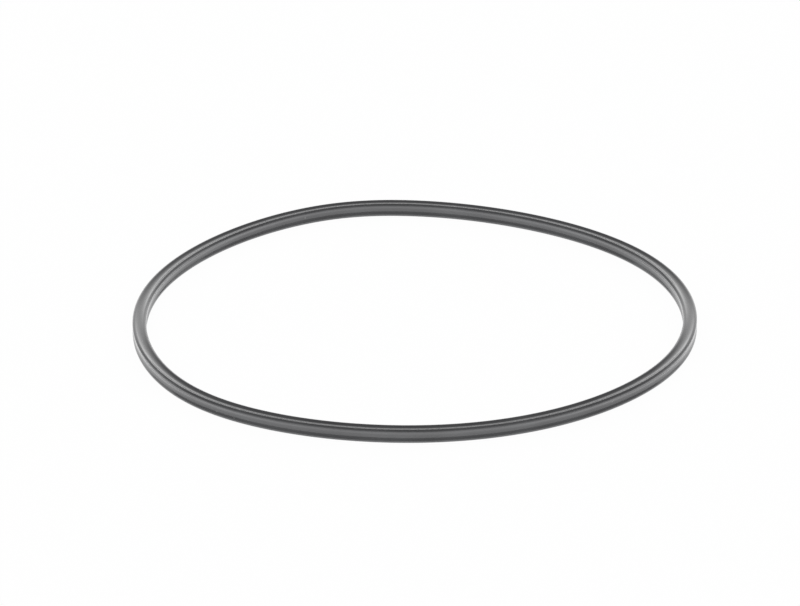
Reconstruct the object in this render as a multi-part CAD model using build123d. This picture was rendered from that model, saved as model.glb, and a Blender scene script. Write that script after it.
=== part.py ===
"""A four-lobed rubber seal ring, lying loose on a flat surface. Millimetres, +Z up.

The ring is one moulding. Its section is a square with a round lobe at each corner and a
shallow hollow groove in the middle of each side. A rubber ring this slender doesn't lie in a
true circle when nothing holds it, so its centreline is a closed chain of arcs, each tangent
to the next, and the section is turned about the middle of each arc.
The origin is at the middle of the ring, on the surface that it lies on.
"""

from build123d import *

import os
from math import cos, degrees, pi, radians, sin

# The moulding
INSIDE_DIAMETER = 135.89  # across the inner lobes, when a gland holds the ring round
SECTION_WIDTH = 3.53  # from lobe to lobe, the same across the ring and up it
LOBE_RADIUS = 0.55
GROOVE_DEPTH = 0.35  # from a straight edge laid on two lobes to the bottom of the groove

# How it lies: {bulges in one turn: (height of each, direction of one of them)}. The height is
# how far the centreline stands out of the true circle, and the direction is in degrees, from
# +X towards +Y.
BULGES = {
    3: (1.15, -14.5),
    4: (0.42, 24.0),
    5: (0.20, 25.5),
    6: (0.20, -18.0),
}
ARC_COUNT = 24  # a multiple of 4, so that an arc's middle faces each way along X and Y

MEAN_RADIUS = (INSIDE_DIAMETER + SECTION_WIDTH) / 2
LOBE_REACH = SECTION_WIDTH / 2 - LOBE_RADIUS  # from the section's middle to a lobe's, each way
ARC_TURN = 2 * pi / ARC_COUNT


def facing(angle):
    """The level direction at an angle from +X."""
    return Vector(cos(angle), sin(angle), 0)


def section():
    """The ring's section, about its own middle: a lobe and a groove, four times."""
    # The groove is the arc that touches both lobes and dips to its depth between them.
    groove_radius = (LOBE_REACH**2 + GROOVE_DEPTH**2) / (2 * GROOVE_DEPTH) - LOBE_RADIUS
    groove_middle = Vector(0, SECTION_WIDTH / 2 - GROOVE_DEPTH + groove_radius)
    lobe_middle = Vector(LOBE_REACH, LOBE_REACH)
    to_groove = (groove_middle - lobe_middle).normalized() * LOBE_RADIUS
    over_groove = lobe_middle + to_groove
    beside_groove = lobe_middle + Vector(to_groove.Y, to_groove.X)
    corner = lobe_middle + Vector(1, 1).normalized() * LOBE_RADIUS
    groove_floor = groove_middle - Vector(0, groove_radius)
    groove = ThreePointArc(Vector(-over_groove.X, over_groove.Y), groove_floor, over_groove)
    lobe = ThreePointArc(over_groove, corner, beside_groove)
    outline = [Rot(0, 0, -90 * side) * edge for side in range(4) for edge in (groove, lobe)]
    return make_face(outline)


def centreline():
    """The arcs' middles and radii, in order round the ring, starting with the one that faces +X."""
    radii = []
    for index in range(ARC_COUNT):
        radius = MEAN_RADIUS
        for count, (height, direction) in BULGES.items():
            # A wave of this height in the outline changes its radius of curvature by this much.
            radius -= (count**2 - 1) * height * cos(count * (index * ARC_TURN - radians(direction)))
        radii.append(radius)
    middles = [Vector(0, 0, 0)]
    for index in range(ARC_COUNT - 1):
        # Two arcs are tangent where both of their middles lie on the line across the joint.
        joint = facing((index + 0.5) * ARC_TURN)
        middles.append(middles[-1] + joint * (radii[index] - radii[index + 1]))
    # The outermost points each way along X and Y are at the middles of four of the arcs.
    right, back, left, front = (
        middles[index] + facing(index * ARC_TURN) * radii[index]
        for index in range(0, ARC_COUNT, ARC_COUNT // 4)
    )
    offset = Vector((right.X + left.X) / 2, (back.Y + front.Y) / 2, -SECTION_WIDTH / 2)
    return [middle - offset for middle in middles], radii


def seal_ring():
    """The whole ring: each stretch is the section turned about its arc's own upright axis."""
    profile = section()
    stretches = []
    for index, (middle, radius) in enumerate(zip(*centreline())):
        start = facing((index - 0.5) * ARC_TURN)
        # Across the section is out from the arc's middle, and up it is up.
        across = Plane(origin=middle + start * radius, x_dir=start, z_dir=start.cross(Vector(0, 0, 1)))
        upright = Axis(middle, (0, 0, 1))
        stretches.append(revolve(across * profile, upright, degrees(ARC_TURN), clean=False))
    return Solid(stretches[0].fuse(*stretches[1:]).solid().wrapped)


os.makedirs("parts", exist_ok=True)
ring = seal_ring()
export_step(ring, "parts/seal_ring.step")

box = ring.bounding_box()
length = sum(radius * ARC_TURN for radius in centreline()[1])
print("box", box.min, box.max)
print("volume over section times length:", ring.volume / (section().area * length))
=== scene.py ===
"""The finish of a four-lobed rubber seal ring, lying on a white table in a white studio.

Everything is in metres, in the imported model's frame: the ring lies on Z = 0 about the origin.
"""

from math import cos, pi, radians, sin, tau

import bpy
from bpy.props import FloatProperty, FloatVectorProperty, IntProperty, PointerProperty
from mathutils import Matrix, Vector


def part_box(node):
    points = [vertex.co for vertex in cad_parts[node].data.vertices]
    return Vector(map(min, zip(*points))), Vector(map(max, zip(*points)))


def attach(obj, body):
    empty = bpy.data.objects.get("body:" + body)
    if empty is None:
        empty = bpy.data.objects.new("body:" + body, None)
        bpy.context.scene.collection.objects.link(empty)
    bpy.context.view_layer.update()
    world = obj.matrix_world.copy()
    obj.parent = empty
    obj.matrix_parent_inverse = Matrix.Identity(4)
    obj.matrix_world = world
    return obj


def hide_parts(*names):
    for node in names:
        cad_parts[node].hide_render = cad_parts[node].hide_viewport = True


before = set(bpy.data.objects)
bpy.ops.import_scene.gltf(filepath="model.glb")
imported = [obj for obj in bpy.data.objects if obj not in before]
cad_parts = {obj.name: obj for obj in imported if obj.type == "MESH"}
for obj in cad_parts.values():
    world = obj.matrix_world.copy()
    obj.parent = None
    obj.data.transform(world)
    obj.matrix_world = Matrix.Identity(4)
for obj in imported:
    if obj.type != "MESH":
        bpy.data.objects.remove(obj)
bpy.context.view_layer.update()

bl_info = {
    "name": "Four-lobed seal ring",
    "version": (1, 0, 0),
    "blender": (4, 5, 0),
    "location": "View3D > Sidebar > Seal ring",
    "description": "Makes a moulded rubber seal ring and the studio that it is shown in",
    "category": "Object",
}

MM = 0.001
RING_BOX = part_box("seal_ring")
# The ring's outline waves this many times in a turn, as in the solid model.
BULGE_COUNTS = (3, 4, 5, 6)


def linear(hex_colour):
    """A colour that Blender mixes with, from an sRGB hex value such as "ffffff"."""
    shares = (int(hex_colour[i : i + 2], 16) / 255 for i in (0, 2, 4))
    return tuple(s / 12.92 if s <= 0.04045 else ((s + 0.055) / 1.055) ** 2.4 for s in shares)


def add(tree, kind, sockets=None, **settings):
    """Add a node, give it its settings, and set or link its input sockets by name or number."""
    node = tree.nodes.new(kind)
    for name, value in settings.items():
        setattr(node, name, value)
    for key, value in (sockets or {}).items():
        if isinstance(value, bpy.types.Node):
            value = value.outputs[0]
        if isinstance(value, bpy.types.NodeSocket):
            tree.links.new(value, node.inputs[key])
        else:
            node.inputs[key].default_value = value
    return node


# ---------------------------------------------------------------- sizes and colours


class SealRingSettings(bpy.types.PropertyGroup):
    """The moulding's sizes, the way it lies, and its rubber."""

    inside_diameter: FloatProperty(
        name="Inside diameter",
        description="Across the inner lobes, when a gland holds the ring round",
        default=135.89 * MM,
        unit="LENGTH",
        precision=5,
    )
    section_width: FloatProperty(
        name="Section width",
        description="From lobe to lobe, the same across the ring and up it",
        default=RING_BOX[1].z - RING_BOX[0].z,
        unit="LENGTH",
        precision=5,
    )
    lobe_radius: FloatProperty(
        name="Lobe radius",
        description="Of the round lobe at each corner of the section",
        default=0.55 * MM,
        unit="LENGTH",
        precision=5,
    )
    groove_depth: FloatProperty(
        name="Groove depth",
        description="From a straight edge laid on two lobes to the bottom of the groove",
        default=0.35 * MM,
        unit="LENGTH",
        precision=5,
    )
    bulge_heights: FloatVectorProperty(
        name="Bulge heights",
        description="How far the outline stands out of a true circle, for 3, 4, 5 and 6 bulges a turn",
        default=(1.15 * MM, 0.42 * MM, 0.20 * MM, 0.20 * MM),
        size=4,
        unit="LENGTH",
        precision=5,
    )
    bulge_directions: FloatVectorProperty(
        name="Bulge directions",
        description="The direction of one bulge of each kind, from +X towards +Y",
        default=tuple(radians(turn) for turn in (-14.5, 24.0, 25.5, -18.0)),
        size=4,
        unit="ROTATION",
    )
    steps_round: IntProperty(
        name="Steps round the ring",
        description="How many times the section is repeated along the ring",
        default=960,
        min=48,
    )
    rubber_colour: FloatVectorProperty(
        name="Rubber colour",
        description="The compound's own colour, a carbon black nitrile rubber",
        default=linear("474749"),
        size=3,
        subtype="COLOR",
    )
    bloom_colour: FloatVectorProperty(
        name="Bloom colour",
        description="The thin pale film that comes to the surface of nitrile rubber in store",
        default=linear("5a5b5d"),
        size=3,
        subtype="COLOR",
    )
    dust_colour: FloatVectorProperty(
        name="Dust colour",
        description="Specks of lint and talc that the rubber has picked up",
        default=linear("b4b5b2"),
        size=3,
        subtype="COLOR",
    )


class StudioSettings(bpy.types.PropertyGroup):
    """The table, the lights and the camera."""

    table_colour: FloatVectorProperty(
        name="Table colour",
        description="Smooth white table under the ring",
        default=linear("f4f4f4"),
        size=3,
        subtype="COLOR",
    )
    table_glow: FloatProperty(
        name="Table glow",
        description="How brightly the white table is lit from below",
        default=1.5,
    )
    backdrop_strength: FloatProperty(
        name="Backdrop strength",
        description="How bright the white backdrop behind the ring is",
        default=1.55,
    )
    backdrop_direction: FloatProperty(
        name="Backdrop direction",
        description="How far the backdrop's middle is to the right of straight behind",
        default=radians(2),
        unit="ROTATION",
    )
    backdrop_half_width: FloatProperty(
        name="Backdrop half width",
        description="How far the backdrop reaches to either side, as an angle at the ring",
        default=radians(48),
        unit="ROTATION",
    )
    backdrop_height: FloatProperty(
        name="Backdrop height",
        description="How far the backdrop reaches up, as an angle at the ring",
        default=radians(44),
        unit="ROTATION",
    )
    room_strength: FloatProperty(
        name="Room strength",
        description="How bright the dim room is, overhead and round the camera",
        default=0.42,
    )
    side_power: FloatProperty(
        name="Side lights",
        description="Power of each soft light, left and right",
        default=1.6,
        unit="POWER",
    )
    camera_distance: FloatProperty(
        name="Camera distance",
        description="From the middle of the ring",
        default=1.44,
        unit="LENGTH",
    )
    camera_elevation: FloatProperty(
        name="Camera elevation",
        description="How far the camera looks down on the table",
        default=radians(24.25),
        unit="ROTATION",
    )
    focal_length: FloatProperty(
        name="Focal length",
        description="In millimetres, for a sensor 36 mm wide",
        default=255.8,
    )
    camera_roll: FloatProperty(
        name="Camera roll",
        description="How far the camera leans to one side",
        default=radians(-0.25),
        unit="ROTATION",
    )
    framing: FloatVectorProperty(
        name="Framing",
        description="Lens shift, across and up, as a share of the picture's width",
        default=(-0.0150, 0.0181),
        size=2,
    )


# ---------------------------------------------------------------- rubber


def streaks_along_ring(tree):
    """Noise that changes quickly across the section and slowly along the ring."""
    streak_width_mm = 0.4
    streak_length_mm = 20
    typical_radius_mm = 70
    place = add(tree, "ShaderNodeAttribute", attribute_name="section_place")
    in_mm = (1 / MM,) * 3
    place_mm = add(
        tree, "ShaderNodeVectorMath", {0: place.outputs["Vector"], 1: in_mm}, operation="MULTIPLY"
    )
    section = add(tree, "ShaderNodeSeparateXYZ", {0: place_mm})
    turn = add(tree, "ShaderNodeAttribute", attribute_name="ring_turn")
    facing = add(tree, "ShaderNodeSeparateXYZ", {0: turn.outputs["Vector"]})
    # Two numbers say where a point is in the section, and two more which way it faces.
    across, upward, along_x, along_y = (
        add(tree, "ShaderNodeMath", {0: coordinate, 1: scale}, operation="MULTIPLY")
        for coordinate, scale in (
            (section.outputs[0], 1 / streak_width_mm),
            (section.outputs[1], 1 / streak_width_mm),
            (facing.outputs[0], typical_radius_mm / streak_length_mm),
            (facing.outputs[1], typical_radius_mm / streak_length_mm),
        )
    )
    noise_place = add(tree, "ShaderNodeCombineXYZ", {0: across, 1: upward, 2: along_x})
    return add(
        tree,
        "ShaderNodeTexNoise",
        {"Vector": noise_place, "W": along_y, "Scale": 1.0, "Detail": 3.0, "Roughness": 0.55},
        noise_dimensions="4D",
    )


def noise_of_size(tree, place, size):
    """Soft noise whose patches are about this far across."""
    return add(tree, "ShaderNodeTexNoise", {"Vector": place, "Scale": 1 / size, "Detail": 2.0})


def bloomed_colour(tree, settings, place, streaks):
    """The rubber's colour, with bloom in soft streaky patches."""
    patch_size = 12 * MM
    least_noise, most_noise = 0.12, 0.42
    most_bloom = 0.8
    patches = noise_of_size(tree, place, patch_size)
    both = add(tree, "ShaderNodeMath", {0: streaks, 1: patches}, operation="MULTIPLY")
    bloom = add(
        tree,
        "ShaderNodeMapRange",
        {"Value": both, "From Min": least_noise, "From Max": most_noise, "To Max": most_bloom},
    )
    return add(
        tree,
        "ShaderNodeMix",
        {"Factor": bloom, "A": (*settings.rubber_colour, 1), "B": (*settings.bloom_colour, 1)},
        data_type="RGBA",
    ).outputs["Result"]


def dusted_colour(tree, settings, place, colour):
    """A colour with lint and talc on it: rare specks about 0.3 mm across."""
    cell_size = 2.2 * MM
    speck_core, speck_edge = 0.05, 0.08  # from a cell's point, as shares of the cell's size
    clean_share = 0.86
    speck_cover = 0.5
    cells = add(
        tree,
        "ShaderNodeTexVoronoi",
        {"Vector": place, "Scale": 1 / cell_size, "Randomness": 1.0},
        feature="F1",
    )
    luck = add(tree, "ShaderNodeSeparateColor", {0: cells.outputs["Color"]})
    dusty = add(tree, "ShaderNodeMath", {0: luck.outputs[0], 1: clean_share}, operation="GREATER_THAN")
    near = add(
        tree,
        "ShaderNodeMapRange",
        {
            "Value": cells.outputs["Distance"],
            "From Min": speck_core,
            "From Max": speck_edge,
            "To Min": 1.0,
            "To Max": 0.0,
        },
    )
    speck = add(tree, "ShaderNodeMath", {0: near, 1: dusty}, operation="MULTIPLY")
    cover = add(tree, "ShaderNodeMath", {0: speck, 1: speck_cover}, operation="MULTIPLY")
    return add(
        tree,
        "ShaderNodeMix",
        {"Factor": cover, "A": colour, "B": (*settings.dust_colour, 1)},
        data_type="RGBA",
    ).outputs["Result"]


def nitrile_rubber(settings):
    """Black nitrile rubber, compression-moulded and post-cured.

    Carbon black makes it nearly black all through. The mould's smooth steel and the rubber's
    own skin give a sheen, drawn out along the ring, with a thin grey bloom and some lint.
    """
    grain_size = 0.12 * MM  # coarser than a mould's real grain, which is too fine to draw
    relief_depth = 0.02 * MM
    relief_share = 0.004
    least_streak, most_streak = 0.3, 0.7
    smoothest, roughest = 0.08, 0.13
    rubber_ior = 1.60  # nitrile rubber's own is about 1.52, and its carbon black raises it

    material = bpy.data.materials.new("moulded_nitrile_rubber")
    material.use_nodes = True
    tree = material.node_tree
    tree.nodes.clear()
    place = add(tree, "ShaderNodeTexCoord").outputs["Object"]
    streaks = streaks_along_ring(tree)
    bloomed = bloomed_colour(tree, settings, place, streaks)
    colour = dusted_colour(tree, settings, place, bloomed)
    grain = noise_of_size(tree, place, grain_size)
    relief = add(tree, "ShaderNodeMath", {0: streaks, 1: grain}, operation="ADD")
    bump = add(
        tree, "ShaderNodeBump", {"Strength": relief_share, "Distance": relief_depth, "Height": relief}
    )
    roughness = add(
        tree,
        "ShaderNodeMapRange",
        {
            "Value": streaks,
            "From Min": least_streak,
            "From Max": most_streak,
            "To Min": smoothest,
            "To Max": roughest,
        },
    )
    shader = add(
        tree,
        "ShaderNodeBsdfPrincipled",
        {"Base Color": colour, "Roughness": roughness, "IOR": rubber_ior, "Normal": bump},
    )
    add(tree, "ShaderNodeOutputMaterial", {"Surface": shader})
    return material


# ---------------------------------------------------------------- ring


def ring_inputs(settings):
    """The ring tree's named inputs, with their values: {name: (kind of socket, value)}."""
    inputs = {
        "Mean radius": ("NodeSocketFloat", (settings.inside_diameter + settings.section_width) / 2),
        "Section width": ("NodeSocketFloat", settings.section_width),
        "Lobe radius": ("NodeSocketFloat", settings.lobe_radius),
        "Groove depth": ("NodeSocketFloat", settings.groove_depth),
        "Steps round": ("NodeSocketInt", settings.steps_round),
        "Middle": ("NodeSocketVector", box_middle(settings)),
        "Rubber": ("NodeSocketMaterial", nitrile_rubber(settings)),
    }
    for index, count in enumerate(BULGE_COUNTS):
        inputs[f"Height of {count} bulges"] = ("NodeSocketFloat", settings.bulge_heights[index])
        inputs[f"Direction of {count} bulges"] = ("NodeSocketFloat", settings.bulge_directions[index])
    return inputs


def outline_point(settings, angle):
    """The centreline's point where it faces an angle, before its middle is moved to the origin."""
    stand = (settings.inside_diameter + settings.section_width) / 2
    slope = 0.0
    for count, height, direction in zip(BULGE_COUNTS, settings.bulge_heights, settings.bulge_directions):
        stand += height * cos(count * (angle - direction))
        slope -= height * count * sin(count * (angle - direction))
    return Vector((stand * cos(angle) - slope * sin(angle), stand * sin(angle) + slope * cos(angle), 0))


def box_middle(settings):
    """How far the middle of the centreline's box is from the point that its bulges are measured from."""
    right, back, left, front = (outline_point(settings, quarter * pi / 2) for quarter in range(4))
    return Vector(((right.x + left.x) / 2, (back.y + front.y) / 2, -settings.section_width / 2))


def centreline_nodes(tree, given):
    """A closed curve that bulges out of a circle, and says at each point which way it faces."""
    circle = add(tree, "GeometryNodeCurvePrimitiveCircle", {"Resolution": given["Steps round"], "Radius": 1.0})
    index = add(tree, "GeometryNodeInputIndex")
    share = add(tree, "ShaderNodeMath", {0: index, 1: given["Steps round"]}, operation="DIVIDE")
    angle = add(tree, "ShaderNodeMath", {0: share, 1: tau}, operation="MULTIPLY")
    stand, slope = given["Mean radius"], 0.0
    for count in BULGE_COUNTS:
        height, direction = given[f"Height of {count} bulges"], given[f"Direction of {count} bulges"]
        ahead = add(tree, "ShaderNodeMath", {0: angle, 1: direction}, operation="SUBTRACT")
        phase = add(tree, "ShaderNodeMath", {0: ahead, 1: count}, operation="MULTIPLY")
        cosine = add(tree, "ShaderNodeMath", {0: phase}, operation="COSINE")
        sine = add(tree, "ShaderNodeMath", {0: phase}, operation="SINE")
        steep = add(tree, "ShaderNodeMath", {0: height, 1: -count}, operation="MULTIPLY")
        stand = add(tree, "ShaderNodeMath", {0: height, 1: cosine, 2: stand}, operation="MULTIPLY_ADD")
        slope = add(tree, "ShaderNodeMath", {0: steep, 1: sine, 2: slope}, operation="MULTIPLY_ADD")
    facing_x = add(tree, "ShaderNodeMath", {0: angle}, operation="COSINE")
    facing_y = add(tree, "ShaderNodeMath", {0: angle}, operation="SINE")
    facing = add(tree, "ShaderNodeCombineXYZ", {0: facing_x, 1: facing_y})
    back_y = add(tree, "ShaderNodeMath", {0: facing_y, 1: -1.0}, operation="MULTIPLY")
    ahead_way = add(tree, "ShaderNodeCombineXYZ", {0: back_y, 1: facing_x})
    out = add(tree, "ShaderNodeVectorMath", {0: facing, "Scale": stand}, operation="SCALE")
    aside = add(tree, "ShaderNodeVectorMath", {0: ahead_way, "Scale": slope}, operation="SCALE")
    point = add(tree, "ShaderNodeVectorMath", {0: out, 1: aside}, operation="ADD")
    placed = add(tree, "ShaderNodeVectorMath", {0: point, 1: given["Middle"]}, operation="SUBTRACT")
    # The angle is kept before the points move.
    kept = add(
        tree,
        "GeometryNodeStoreNamedAttribute",
        {"Geometry": circle, "Name": "ring_turn", "Value": facing},
        data_type="FLOAT_VECTOR",
        domain="POINT",
    )
    moved = add(tree, "GeometryNodeSetPosition", {"Geometry": kept, "Position": placed})
    return add(tree, "GeometryNodeSetCurveNormal", {"Curve": moved}, mode="Z_UP")


def section_nodes(tree, given):
    """The section's outline about its own middle: a lobe and a groove, four times."""
    lobe_points, groove_points = 15, 11
    half = add(tree, "ShaderNodeMath", {0: given["Section width"], 1: 2.0}, operation="DIVIDE")
    reach = add(tree, "ShaderNodeMath", {0: half, 1: given["Lobe radius"]}, operation="SUBTRACT")
    # The groove is the arc that touches both lobes and dips to its depth between them.
    reach_squared = add(tree, "ShaderNodeMath", {0: reach, 1: reach}, operation="MULTIPLY")
    depth = given["Groove depth"]
    squares = add(tree, "ShaderNodeMath", {0: depth, 1: depth, 2: reach_squared}, operation="MULTIPLY_ADD")
    twice = add(tree, "ShaderNodeMath", {0: depth, 1: 2.0}, operation="MULTIPLY")
    both_radii = add(tree, "ShaderNodeMath", {0: squares, 1: twice}, operation="DIVIDE")
    groove_radius = add(tree, "ShaderNodeMath", {0: both_radii, 1: given["Lobe radius"]}, operation="SUBTRACT")
    groove_floor = add(tree, "ShaderNodeMath", {0: half, 1: depth}, operation="SUBTRACT")
    groove_height = add(tree, "ShaderNodeMath", {0: groove_floor, 1: groove_radius}, operation="ADD")
    lean_sine = add(tree, "ShaderNodeMath", {0: reach, 1: both_radii}, operation="DIVIDE")
    lean = add(tree, "ShaderNodeMath", {0: lean_sine}, operation="ARCSINE")
    # Both arcs run the same way round, so that the faces between them all point outwards.
    lobe_start = add(tree, "ShaderNodeMath", {0: lean, 1: -1.0}, operation="MULTIPLY")
    lobe_sweep = add(tree, "ShaderNodeMath", {0: lean, 1: 2.0, 2: pi / 2}, operation="MULTIPLY_ADD")
    groove_start = add(tree, "ShaderNodeMath", {0: lean, 1: 1.5 * pi}, operation="ADD")
    groove_sweep = add(tree, "ShaderNodeMath", {0: lean, 1: -2.0}, operation="MULTIPLY")
    lobe = add(
        tree,
        "GeometryNodeCurveArc",
        {
            "Resolution": lobe_points,
            "Radius": given["Lobe radius"],
            "Start Angle": lobe_start,
            "Sweep Angle": lobe_sweep,
        },
        mode="RADIUS",
    )
    groove = add(
        tree,
        "GeometryNodeCurveArc",
        {
            "Resolution": groove_points,
            "Radius": groove_radius,
            "Start Angle": groove_start,
            "Sweep Angle": groove_sweep,
        },
        mode="RADIUS",
    )
    lobe_place = add(tree, "ShaderNodeCombineXYZ", {0: reach, 1: reach})
    groove_place = add(tree, "ShaderNodeCombineXYZ", {1: groove_height})
    lobe_at = add(tree, "GeometryNodeTransform", {"Geometry": lobe, "Translation": lobe_place})
    groove_at = add(tree, "GeometryNodeTransform", {"Geometry": groove, "Translation": groove_place})
    outline = add(tree, "GeometryNodeJoinGeometry")
    for side in range(4):
        for arc in (lobe_at, groove_at):
            turned = add(tree, "GeometryNodeTransform", {"Geometry": arc, "Rotation": (0, 0, side * pi / 2)})
            tree.links.new(turned.outputs[0], outline.inputs[0])
    place = add(tree, "GeometryNodeInputPosition")
    return add(
        tree,
        "GeometryNodeStoreNamedAttribute",
        {"Geometry": outline, "Name": "section_place", "Value": place},
        data_type="FLOAT_VECTOR",
        domain="POINT",
    )


def ring_tree(inputs):
    """The Geometry Nodes that carry the section round the centreline."""
    tree = bpy.data.node_groups.new("seal_ring", "GeometryNodeTree")
    for name, (kind, _value) in inputs.items():
        tree.interface.new_socket(name=name, in_out="INPUT", socket_type=kind)
    tree.interface.new_socket(name="Ring", in_out="OUTPUT", socket_type="NodeSocketGeometry")
    given = add(tree, "NodeGroupInput").outputs
    skin = add(
        tree,
        "GeometryNodeCurveToMesh",
        {"Curve": centreline_nodes(tree, given), "Profile Curve": section_nodes(tree, given)},
    )
    # The arcs' strips share their edges, and are joined there into one closed skin.
    join_within = 0.001 * MM
    closed = add(tree, "GeometryNodeMergeByDistance", {"Geometry": skin, "Distance": join_within})
    smooth = add(tree, "GeometryNodeSetShadeSmooth", {"Geometry": closed})
    real = add(tree, "GeometryNodeRealizeInstances", {"Geometry": smooth})
    painted = add(tree, "GeometryNodeSetMaterial", {"Geometry": real, "Material": given["Rubber"]})
    add(tree, "NodeGroupOutput", {"Ring": painted})
    return tree


class OBJECT_OT_add_seal_ring(bpy.types.Operator):
    """Add the moulded rubber ring, in place of the solid model's"""

    bl_idname = "object.add_seal_ring"
    bl_label = "Add seal ring"

    def execute(self, context):
        inputs = ring_inputs(context.scene.seal_ring)
        tree = ring_tree(inputs)
        maker = bpy.data.objects.new("ring_maker", bpy.data.meshes.new("ring_maker"))
        context.collection.objects.link(maker)
        modifier = maker.modifiers.new("seal_ring", "NODES")
        modifier.node_group = tree
        for socket in tree.interface.items_tree:
            if socket.in_out == "INPUT":
                modifier[socket.identifier] = inputs[socket.name][1]
        evaluated = maker.evaluated_get(context.evaluated_depsgraph_get())
        mesh = bpy.data.meshes.new_from_object(evaluated)
        bpy.data.objects.remove(maker)
        if not mesh.polygons:
            raise RuntimeError("the ring came out empty")
        ring = bpy.data.objects.new("moulded_ring", mesh)
        context.collection.objects.link(ring)
        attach(ring, "root")
        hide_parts("seal_ring")
        return {"FINISHED"}


# ---------------------------------------------------------------- studio


def white_table(settings):
    """A white acrylic table, lit from below. It shows white, and keeps the ring's faint shadow."""
    seen_glow = 1.03
    glow_share = 0.94
    material = bpy.data.materials.new("white_acrylic_table")
    material.use_nodes = True
    tree = material.node_tree
    tree.nodes.clear()
    acrylic = add(tree, "ShaderNodeBsdfDiffuse", {"Color": (*settings.table_colour, 1)})
    path = add(tree, "ShaderNodeLightPath")
    strength = add(
        tree,
        "ShaderNodeMix",
        {"Factor": path.outputs["Is Camera Ray"], "A": settings.table_glow, "B": seen_glow},
        data_type="FLOAT",
    )
    glow = add(tree, "ShaderNodeEmission", {"Color": (1, 1, 1, 1), "Strength": strength})
    mixed = add(tree, "ShaderNodeMixShader", {0: glow_share, 1: acrylic, 2: glow})
    add(tree, "ShaderNodeOutputMaterial", {"Surface": mixed})
    return material


def studio_world(settings):
    """A dim room with a low white backdrop behind the ring. The camera sees white."""
    # From the backdrop's middle it fades between these distances, where its edge is 1 away.
    fade_start, fade_end = 0.35, 1.15
    world = bpy.data.worlds.new("studio")
    world.use_nodes = True
    tree = world.node_tree
    tree.nodes.clear()
    whole = add(tree, "ShaderNodeTexCoord")
    across, upward = 1 / sin(settings.backdrop_half_width), 1 / sin(settings.backdrop_height)
    middle = (-sin(settings.backdrop_direction) * across, 0, 0)
    scaled = add(
        tree,
        "ShaderNodeVectorMath",
        {0: whole.outputs["Generated"], 1: (across, 0, upward), 2: middle},
        operation="MULTIPLY_ADD",
    )
    away = add(tree, "ShaderNodeVectorMath", {0: scaled}, operation="LENGTH")
    soft = add(
        tree,
        "ShaderNodeMapRange",
        {
            "Value": away.outputs["Value"],
            "From Min": fade_start,
            "From Max": fade_end,
            "To Min": 1.0,
            "To Max": 0.0,
        },
        interpolation_type="SMOOTHSTEP",
    )
    towards = add(tree, "ShaderNodeSeparateXYZ", {0: whole.outputs["Generated"]})
    behind_ring = add(tree, "ShaderNodeMath", {0: towards.outputs[1], 1: 0.0}, operation="GREATER_THAN")
    backdrop = add(tree, "ShaderNodeMath", {0: soft, 1: behind_ring}, operation="MULTIPLY")
    room = add(
        tree,
        "ShaderNodeMath",
        {0: backdrop, 1: settings.backdrop_strength, 2: settings.room_strength},
        operation="MULTIPLY_ADD",
    )
    path = add(tree, "ShaderNodeLightPath")
    strength = add(
        tree,
        "ShaderNodeMix",
        {"Factor": path.outputs["Is Camera Ray"], "A": room, "B": 1.0},
        data_type="FLOAT",
    )
    light = add(tree, "ShaderNodeBackground", {"Color": (1, 1, 1, 1), "Strength": strength})
    add(tree, "ShaderNodeOutputWorld", {"Surface": light})
    return world


def soft_light(name, place, size, power):
    """A square soft light that faces the ring."""
    data = bpy.data.lights.new(name, "AREA")
    data.size = size
    data.energy = power
    light = bpy.data.objects.new(name, data)
    light.location = place
    light.rotation_euler = (-Vector(place)).to_track_quat("-Z", "Y").to_euler()
    light.visible_camera = False
    bpy.context.collection.objects.link(light)


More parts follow.
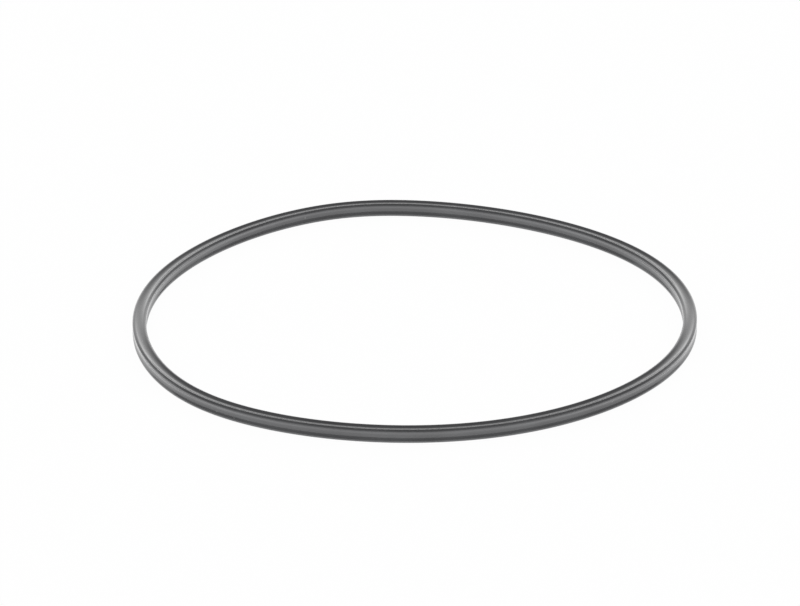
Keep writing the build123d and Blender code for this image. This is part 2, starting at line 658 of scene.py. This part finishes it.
class SCENE_OT_add_studio(bpy.types.Operator):
    """Add the white table, the soft lights and the camera"""

    bl_idname = "scene.add_studio"
    bl_label = "Add studio"

    def execute(self, context):
        settings = context.scene.studio
        table_reach = 6.0
        light_aside, light_back, light_up, light_size = 1.6, 0.9, 0.5, 0.9
        corners = [(x * table_reach, y * table_reach, 0) for x, y in ((-1, -1), (1, -1), (1, 1), (-1, 1))]
        mesh = bpy.data.meshes.new("table")
        mesh.from_pydata(corners, [], [(0, 1, 2, 3)])
        mesh.materials.append(white_table(settings))
        table = bpy.data.objects.new("table", mesh)
        context.collection.objects.link(table)
        context.scene.world = studio_world(settings)
        for name, side in (("left_light", -1), ("right_light", 1)):
            place = (side * light_aside, light_back, light_up)
            soft_light(name, place, light_size, settings.side_power)

        # The camera looks at the point that the ring's bulges are measured from.
        ring_middle = -box_middle(context.scene.seal_ring)
        back = Vector((0, -cos(settings.camera_elevation), sin(settings.camera_elevation)))
        data = bpy.data.cameras.new("camera")
        data.sensor_width = 36.0
        data.lens = settings.focal_length
        data.shift_x, data.shift_y = settings.framing
        data.clip_start, data.clip_end = 0.1, 100.0
        camera = bpy.data.objects.new("camera", data)
        camera.location = ring_middle + back * settings.camera_distance
        look_down = Matrix.Rotation(pi / 2 - settings.camera_elevation, 3, "X")
        camera.rotation_euler = (look_down @ Matrix.Rotation(settings.camera_roll, 3, "Z")).to_euler()
        context.collection.objects.link(camera)
        context.scene.camera = camera
        context.scene.view_settings.view_transform = "Standard"
        return {"FINISHED"}


# ---------------------------------------------------------------- add-on


class VIEW3D_PT_seal_ring(bpy.types.Panel):
    """Lists what this file makes, with its sizes and colours"""

    bl_idname = "VIEW3D_PT_seal_ring"
    bl_label = "Seal ring"
    bl_space_type = "VIEW_3D"
    bl_region_type = "UI"
    bl_category = "Seal ring"

    def draw(self, context):
        for operator, settings in (
            (OBJECT_OT_add_seal_ring, context.scene.seal_ring),
            (SCENE_OT_add_studio, context.scene.studio),
        ):
            box = self.layout.box()
            box.operator(operator.bl_idname)
            for name in type(settings).__annotations__:
                box.prop(settings, name)


CLASSES = (
    SealRingSettings,
    StudioSettings,
    OBJECT_OT_add_seal_ring,
    SCENE_OT_add_studio,
    VIEW3D_PT_seal_ring,
)


def register():
    for cls in CLASSES:
        bpy.utils.register_class(cls)
    bpy.types.Scene.seal_ring = PointerProperty(type=SealRingSettings)
    bpy.types.Scene.studio = PointerProperty(type=StudioSettings)


def unregister():
    del bpy.types.Scene.studio
    del bpy.types.Scene.seal_ring
    for cls in reversed(CLASSES):
        bpy.utils.unregister_class(cls)


def main():
    register()
    bpy.ops.scene.add_studio()
    bpy.ops.object.add_seal_ring()


if __name__ == "__main__":
    main()
